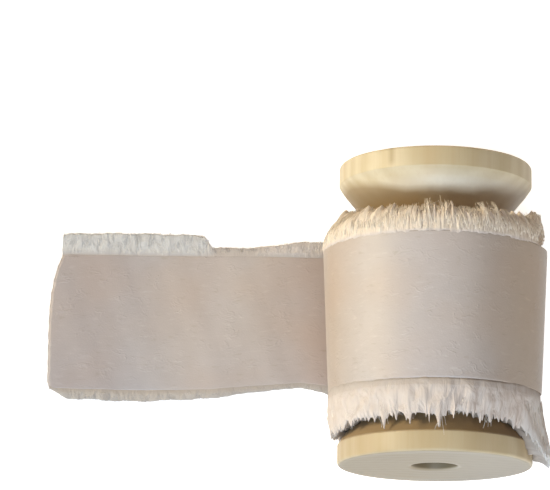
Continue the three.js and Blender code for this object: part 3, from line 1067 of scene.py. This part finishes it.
def frayed_piece(name, roots, material, **values):
    """Threads grown from roots, a dict of arrays in millimetres, as a plain mesh piece."""
    mesh = bpy.data.meshes.new(name + "_roots")
    mesh.from_pydata((roots["root"] * MM).tolist(), [], [])
    source = bpy.data.objects.new(name + "_roots", mesh)
    bpy.context.scene.collection.objects.link(source)
    for key in ("run", "lift", "side"):
        point_values(source, key, roots[key], "FLOAT_VECTOR")
    for key, unit in (("reach", MM), ("sink", MM), ("place", MM), ("bend", 1), ("paleness", 1)):
        point_values(source, key, roots[key] * unit)
    modifier = source.modifiers.new("threads", "NODES")
    modifier.node_group = FRAYED_THREADS
    identifiers = {
        item.name: item.identifier
        for item in FRAYED_THREADS.interface.items_tree
        if item.in_out == "INPUT"
    }
    for key, value in {**values, "Material": material}.items():
        modifier[identifiers[key.replace("_", " ")]] = value
    depsgraph = bpy.context.evaluated_depsgraph_get()
    grown = bpy.data.meshes.new_from_object(source.evaluated_get(depsgraph))
    bpy.data.objects.remove(source)
    grown.name = name
    grown.polygons.foreach_set("use_smooth", [True] * len(grown.polygons))
    piece = bpy.data.objects.new(name, grown)
    bpy.context.scene.collection.objects.link(piece)
    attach(piece, "root")
    return piece


thread, thread_tree, thread_shader = new_material("loose_thread")
thread_tones = {
    "Paleness": attribute_of(thread_tree, "paleness")["Fac"],
    "Woven": (0.51, 0.447, 0.405),
    "Loose": (0.84, 0.775, 0.715),
    "Cream": (0.92, 0.81, 0.67),
    "Bleached": (0.68, 0.66, 0.645),
}
thread_tone = add_node(
    thread_tree, "ShaderNodeGroup", thread_tones, node_tree=THREAD_TONE
).outputs["Tone"]
# By chance some threads are browner than others.
own_chance = attribute_of(thread_tree, "own_chance")["Fac"]
browner = ranged(thread_tree, own_chance, -1, 0.6, 0.3, 0)
thread_colour = layered(thread_tree, thread_tone, [(browner, (0.7, 0.63, 0.53))])
set_surface(thread_shader, thread_colour, None, 0.8, 0.2)


def winding_roots(turned, side, rng):
    """Roots of threads along one edge of the winding, at the given angles from the exit. Most of
    the outer ones come out of the mat somewhere on its way out, and not at the edge."""
    count = len(turned)
    turned = turned + rng.uniform(-0.2, 0.2, count)
    radius, angle, place = wound(turned, np.full(count, side["share"]))
    place = place + side["root_shift"]
    radius = radius - 0.1
    a = np.radians(angle)
    none = np.zeros(count)
    outer = 1 - smooth(turned, 700, 1500)
    longer, wider, bend = sprung(angle, side)
    core_tip, outer_tip = side["tip_radii"]
    tip = outer_tip + (core_tip - outer_tip) * turned / (360 * TURNS) + wider * outer
    reach = side["reach"] + longer * outer + long_locks(angle, side, 1.3) * outer
    reach = reach - side["inner_shorter"] * (1 - outer)
    start = rng.uniform(0.1, 0.85, count)
    start = start * (rng.random(count) < side["share_on_mat"]) * outer
    above_mat = rng.uniform(*side["above_mat"], count)
    radius = radius + (tip - radius) * start**bend + above_mat * (start > 0)
    # Where the mat is drawn in, the roots on that part of it go in with it.
    at_waist = side["waist"] * hump(angle, *WAIST) > 0.11
    radius = radius - 2 * (at_waist & (start < 0.45))
    way = none + side["way"]
    return {
        "root": round_axis(radius, angle, place + way * reach * start),
        "run": np.stack([none, way, none], -1),
        "lift": np.stack([np.sin(a), none, -np.cos(a)], -1),
        "side": np.stack([np.cos(a), none, np.sin(a)], -1),
        "reach": reach * (1 - start),
        "sink": radius - tip,
        "bend": 1 + (bend - 1) * (1 - start) ** 1.7,
        "place": radius * a,
        "paleness": np.full(count, side["paleness"]),
    }


def edge_angles(first, last, spacing):
    """Angles from the exit between two turns, at a spacing in millimetres along the ribbon."""
    angles = [360.0 * first]
    while angles[-1] < 360 * last:
        inward = angles[-1] / (360 * TURNS)
        radius = FAR_RADIUS + (INNER_RADIUS - FAR_RADIUS) * inward
        angles.append(angles[-1] + math.degrees(spacing / radius))
    return np.array(angles)


OUTER_TURNS, INNER_TURNS = (0, 1.35), (1.35, TURNS - 0.5)
for name, side, between, spacing, rings, seed in [
    ("far_frays_outer", FAR, OUTER_TURNS, 0.06, 6, 11),
    ("far_frays_inner", FAR, INNER_TURNS, 0.45, 4, 12),
    ("near_frays_outer", NEAR, OUTER_TURNS, 0.2, 6, 13),
    ("near_frays_inner", NEAR, INNER_TURNS, 0.9, 4, 14),
]:
    angles = edge_angles(*between, spacing)
    frays.append(
        frayed_piece(
            name,
            winding_roots(angles, side, np.random.default_rng(seed)),
            thread,
            Thread_Radius=side["thread_radius"] * MM,
            Rings=rings,
            Lean=0.5 * MM,
            Lock_Pull=0.85,
            Curl=side["curl"] * MM,
            Loft=side["loft"] * MM,
            Spread=0.16,
            Seed=seed,
        )
    )


# ---- frayed edges of the loose end ----------------------------------------------------------
# The same threads on the surface beside the spool, matted into a strip with single ones over it.
# Over half of its length the far edge has lost most of them. At the cut end short ends of the
# lengthwise threads stand out.


def strip_mat(name, root, run, reach, paleness, shade, rng):
    """A closed thin strip of matted threads that goes out from root points along run by reach."""
    shares = np.array([-0.6, 0, 0.15, 0.35, 0.55, 0.75, 0.9, 1.0])
    count = len(root)
    along = travelled_along(root)
    ragged = 0.07 * rng.uniform(-1, 1, count) + 0.1 * np.sin(along * 0.9) + 0.05 * np.sin(along * 2.7)
    ragged = ragged * np.minimum(1, reach / 2)
    out = np.where(shares < 0, shares, shares * (reach + ragged)[:, None])
    middle = root[:, None, :] + run[:, None, :] * out[..., None]
    # It is felted in low lumps, thins out towards its tips, and droops onto the surface.
    felted = 0.08 * np.sin(along[:, None] * 1.9 + out * 1.3) * np.sin(along[:, None] * 0.7 - out)
    felted = felted + 0.025 * rng.uniform(-1, 1, out.shape)
    thick = np.interp(shares, [-0.6, 0, 0.2, 1], [0.03, 0.11, 0.105, 0.05])
    droop = 0.15 * (middle[..., 2] - 0.15) * np.clip(shares, 0, 1) ** 1.5
    middle[..., 2] += felted * np.clip(out / 1.5, 0, 1) - droop
    middle[..., 2] = np.maximum(middle[..., 2], thick + 0.02)
    upper = middle + thick[:, None] * np.array([0, 0, 1.0])
    lower = middle - thick[:, None] * np.array([0, 0, 1.0])
    # The side that the strip goes out to decides which grid makes its faces point outwards.
    turns_up = np.cross(root[1] - root[0], run[0])[2] > 0
    grids = [upper, lower] if turns_up else [lower, upper]
    points = np.concatenate([grid.reshape(-1, 3) for grid in grids])
    mat = mesh_piece(name, points, sheet_faces(count, len(shares)), frayed_cotton)
    values = np.zeros((2, count, len(shares), 3))
    values[..., 0] = along[:, None] * MM
    values[..., 1] = out * MM
    values[..., 2] = paleness[:, None] * smooth(out, -0.1, 1.1)
    point_values(mat, "thread_place", values, "FLOAT_VECTOR")
    point_values(mat, "inner_shade", np.full(len(points), shade))
    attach(mat, "root")
    return mat


def thread_roots(root, run, reach, paleness):
    """Roots of single threads on the loose end that lie flat in the directions run."""
    count = len(root)
    return {
        "root": root,
        "run": run,
        "lift": np.tile([0, 0, 1.0], (count, 1)),
        "side": np.stack([-run[:, 1], run[:, 0], 0 * run[:, 0]], -1),
        "reach": reach,
        "sink": root[:, 2] * 0.5,
        "bend": np.full(count, 1.5),
        "place": travelled_along(root),
        "paleness": paleness,
    }


TO_NEAR_CORNER = np.array([-0.71, -0.71, 0])  # the way that threads stand out at that corner
CUT_REACH = 0.3
CUT_PALENESS, NEAR_PALENESS = 0.1, -0.45


def turned_to_corner(run, amount):
    """Directions straight out from an edge, turned to the near corner by an amount."""
    return run * (1 - amount)[:, None] + amount[:, None] * TO_NEAR_CORNER


def outline(name, count):
    """Points on one edge of the loose end's cloth, the directions straight out from them, and
    the reach and the paleness of the threads there."""
    if name == "cut":
        share = np.linspace(1, 0, count)
        root = loose(np.ones(count), share)
        step = np.gradient(root, axis=0)
        run = np.stack([step[:, 1], -step[:, 0], 0 * step[:, 0]], -1)
        run /= np.linalg.norm(run, axis=1)[:, None]
        run = turned_to_corner(run, smooth(share, 0.08, 0))
        return root, run, np.full(count, CUT_REACH), np.full(count, CUT_PALENESS)
    far = name == "far"
    along = np.linspace(0.0, 1.0, count)
    root = loose(along, np.full(count, 1.0 if far else 0.0))
    run = np.tile([0, 1.0 if far else -1.0, 0], (count, 1))
    x = root[:, 0]
    reach = np.interp(x, LOOSE_X, LOOSE_FAR_FRAY if far else LOOSE_NEAR_FRAY)
    if far:
        # Its full half has bleached, and the rest is paler again near the winding.
        x -= 0.25 * smooth(along, 0.94, 1)
        return root, run, reach, 0.1 - 1.1 * smooth(-x, 39, 43) + 0.65 * smooth(x, -34, -29)
    at_corner = smooth(along, 0.95, 1)
    reach = reach + (CUT_REACH - reach) * at_corner
    return root, turned_to_corner(run, at_corner), reach, np.full(count, NEAR_PALENESS)


edge_rng = np.random.default_rng(21)
for name, points_along, threads, shade, seed in [
    ("far", 420, 900, 0, 31),
    ("near", 420, 420, 0.2, 32),
    ("cut", 160, 130, None, 33),
]:
    if name != "cut":
        root, run, reach, paleness = outline(name, points_along)
        mat_name = "loose_" + name + "_mat"
        frays.append(strip_mat(mat_name, root, run, reach * 0.93, paleness, shade, edge_rng))
    root, run, reach, paleness = outline(name, threads)
    start = edge_rng.uniform(0, 0.75, threads) * (name != "cut")
    root = root + run * (reach * start)[:, None]
    root[:, 2] += edge_rng.uniform(0.02, 0.1, threads)
    frays.append(
        frayed_piece(
            "loose_" + name + "_frays",
            thread_roots(root, run, reach * (1 - start), paleness),
            thread,
            Thread_Radius=0.055 * MM,
            Lean=0.45 * MM,
            Lock_Pull=0.35,
            Curl=0.12 * MM,
            Loft=0.2 * MM,
            Spread=0.14,
            Seed=seed,
        )
    )
